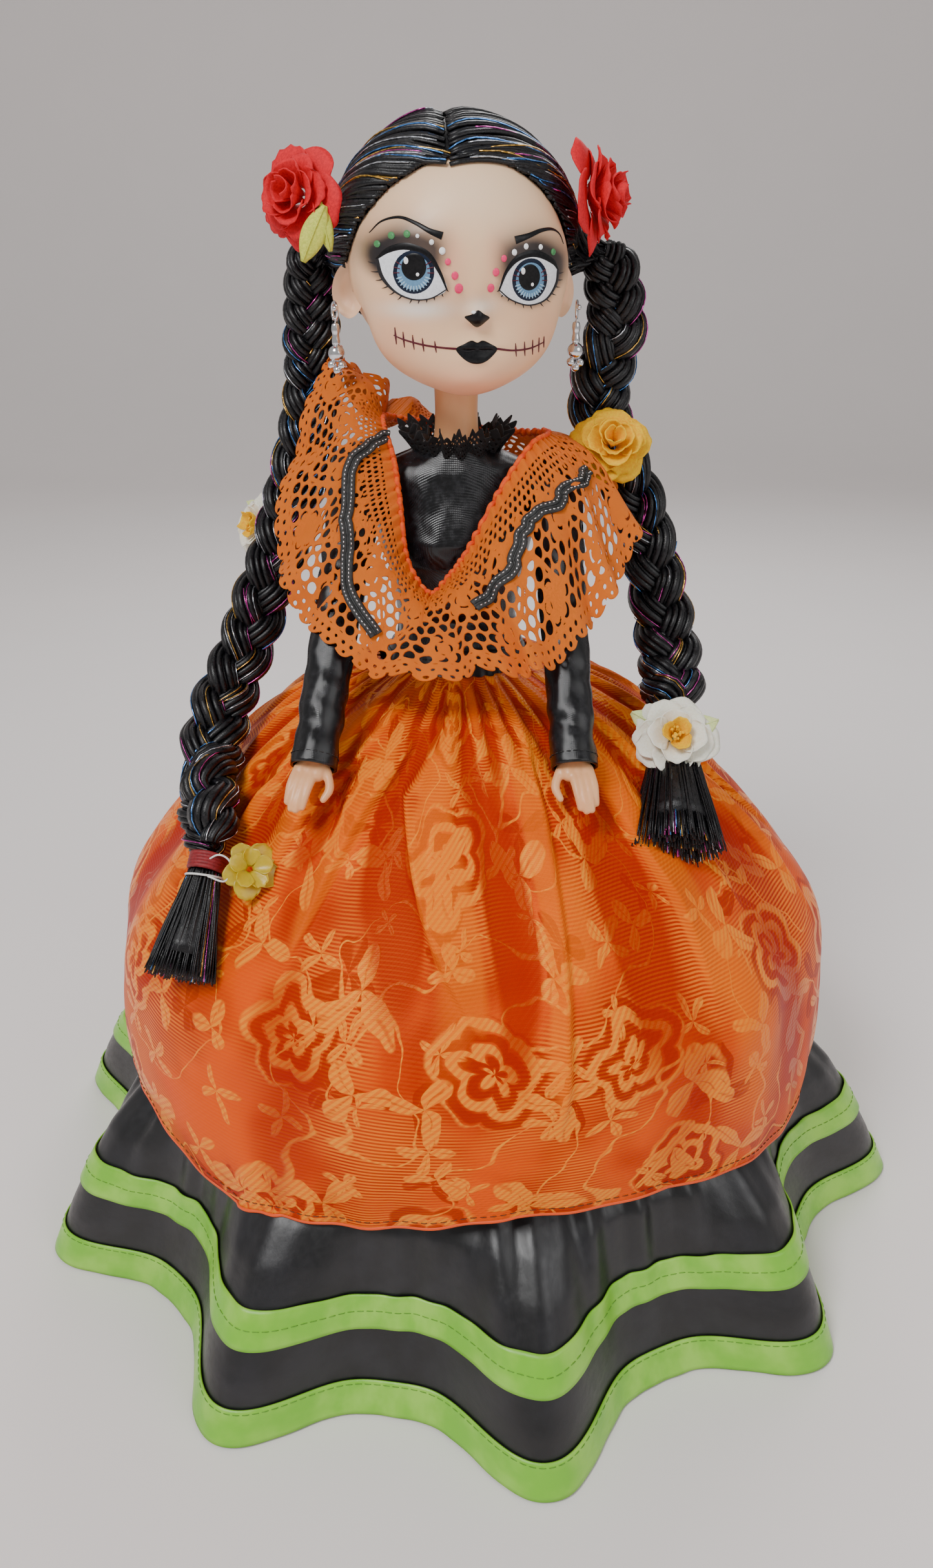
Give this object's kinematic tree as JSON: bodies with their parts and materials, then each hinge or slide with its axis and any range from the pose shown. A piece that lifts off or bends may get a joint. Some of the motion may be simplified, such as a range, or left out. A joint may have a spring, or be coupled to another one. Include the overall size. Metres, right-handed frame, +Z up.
{
  "type": "catrina doll",
  "caption": "Catrina doll with painted skull make-up, braided hair, lace flounce and long tiered skirt; head, arms, hands, legs and earrings move.",
  "frame": {"origin": "on the floor, under the middle of the skirt's hem", "axes": "+Z up, the doll faces -Y, +X towards the doll's left hand"},
  "size_m": [0.2996, 0.3042, 0.3399],
  "materials": {
    "stand_plastic": "smooth moulded stand",
    "stand_steel": "plain wire and strip",
    "vinyl_skin": "soft vinyl and plastic skin with a painted face",
    "knit_black": "shiny coated knit",
    "lace_black": "gathered black lace",
    "lace_orange": "orange lace with open mesh",
    "trim_black": "black woven trim with silver stitches",
    "satin_orange": "orange jacquard satin",
    "satin_black": "plain black satin",
    "ribbon_green": "lime green satin ribbon",
    "net_cream": "stiff net",
    "hair_black": "glossy doll hair with tinsel",
    "band_red": "dark red hair band",
    "elastic_white": "thin clear elastic",
    "paper_red": "paper rose petals",
    "paper_white": "paper rose petals",
    "paper_yellow": "paper rose petals",
    "paper_green": "paper leaf",
    "silver": "polished wire and beads",
    "shoe_black": "moulded shoe"
  },
  "bodies": {
    "figure": {"stand_base": "stand_plastic", "stand_rod": "stand_steel", "waist_clip": "stand_steel", "torso_front": "vinyl_skin", "torso_back": "vinyl_skin", "neck_peg": "vinyl_skin", "pelvis": "vinyl_skin", "hip_axle": "stand_steel", "knit_top": "knit_black", "lace_collar": "lace_black", "lace_flounce": "lace_orange", "braid_trims": "trim_black", "waistband": "knit_black", "petticoat": "net_cream", "orange_skirt": "satin_orange", "black_ruffle": "satin_black", "upper_ribbon": "ribbon_green", "hem_ribbon": "ribbon_green", "braid_lower_left": "hair_black", "braid_lower_right": "hair_black", "hair_band": "band_red", "elastic_loop": "elastic_white", "tassel_left": "hair_black", "tassel_right": "hair_black", "white_rose_front": "paper_white", "white_rose_side": "paper_white", "yellow_rose": "paper_yellow", "yellow_flower": "paper_yellow"},
    "head": {"head_shell": "vinyl_skin", "hair_cap": "hair_black", "braid_upper_left": "hair_black", "braid_upper_right": "hair_black", "red_rose_left": "paper_red", "red_rose_right": "paper_red", "red_rose_leaves": "paper_green", "earring_hook_left": "silver", "earring_hook_right": "silver"},
    "drop_left": {"earring_drop_left": "silver"},
    "drop_right": {"earring_drop_right": "silver"},
    "arm_left": {"arm_left": "vinyl_skin", "sleeve_left": "knit_black"},
    "arm_right": {"arm_right": "vinyl_skin", "sleeve_right": "knit_black"},
    "hand_left": {"hand_left": "vinyl_skin"},
    "hand_right": {"hand_right": "vinyl_skin"},
    "leg_left": {"leg_left": "vinyl_skin", "shoe_left": "shoe_black"},
    "leg_right": {"leg_right": "vinyl_skin", "shoe_right": "shoe_black"}
  },
  "joints": [
    {"name": "neck_turn", "type": "hinge", "parent": "figure", "child": "head", "pos_m": [-0.004, 0.001, 0.27], "axis": [0, 0, 1], "range_deg": [-20, 20]},
    {"name": "earring_swing_left", "type": "hinge", "parent": "head", "child": "drop_left", "pos_m": [0.03064, 0.00345, 0.288], "axis": [0.9877, 0.1564, 0], "range_deg": [-20, 20]},
    {"name": "earring_swing_right", "type": "hinge", "parent": "head", "child": "drop_right", "pos_m": [-0.03771, -0.00738, 0.288], "axis": [0.9877, 0.1564, 0], "range_deg": [-20, 20]},
    {"name": "shoulder_left", "type": "hinge", "parent": "figure", "child": "arm_left", "pos_m": [0.025, 0, 0.246], "axis": [-1, 0, 0], "range_deg": [0, 4]},
    {"name": "shoulder_right", "type": "hinge", "parent": "figure", "child": "arm_right", "pos_m": [-0.033, 0, 0.246], "axis": [-1, 0, 0], "range_deg": [0, 4]},
    {"name": "wrist_left", "type": "hinge", "parent": "arm_left", "child": "hand_left", "pos_m": [0.029, -0.058, 0.175], "axis": [0.0436, -0.632, -0.7737], "range_deg": [-30, 30]},
    {"name": "wrist_right", "type": "hinge", "parent": "arm_right", "child": "hand_right", "pos_m": [-0.0436, -0.058, 0.175], "axis": [-0.1149, -0.6285, -0.7693], "range_deg": [-30, 30]},
    {"name": "hip_left", "type": "hinge", "parent": "figure", "child": "leg_left", "pos_m": [0.008, 0, 0.157], "axis": [1, 0, 0], "range_deg": [-20, 20]},
    {"name": "hip_right", "type": "hinge", "parent": "figure", "child": "leg_right", "pos_m": [-0.016, 0, 0.157], "axis": [1, 0, 0], "range_deg": [-20, 20]}
  ]
}
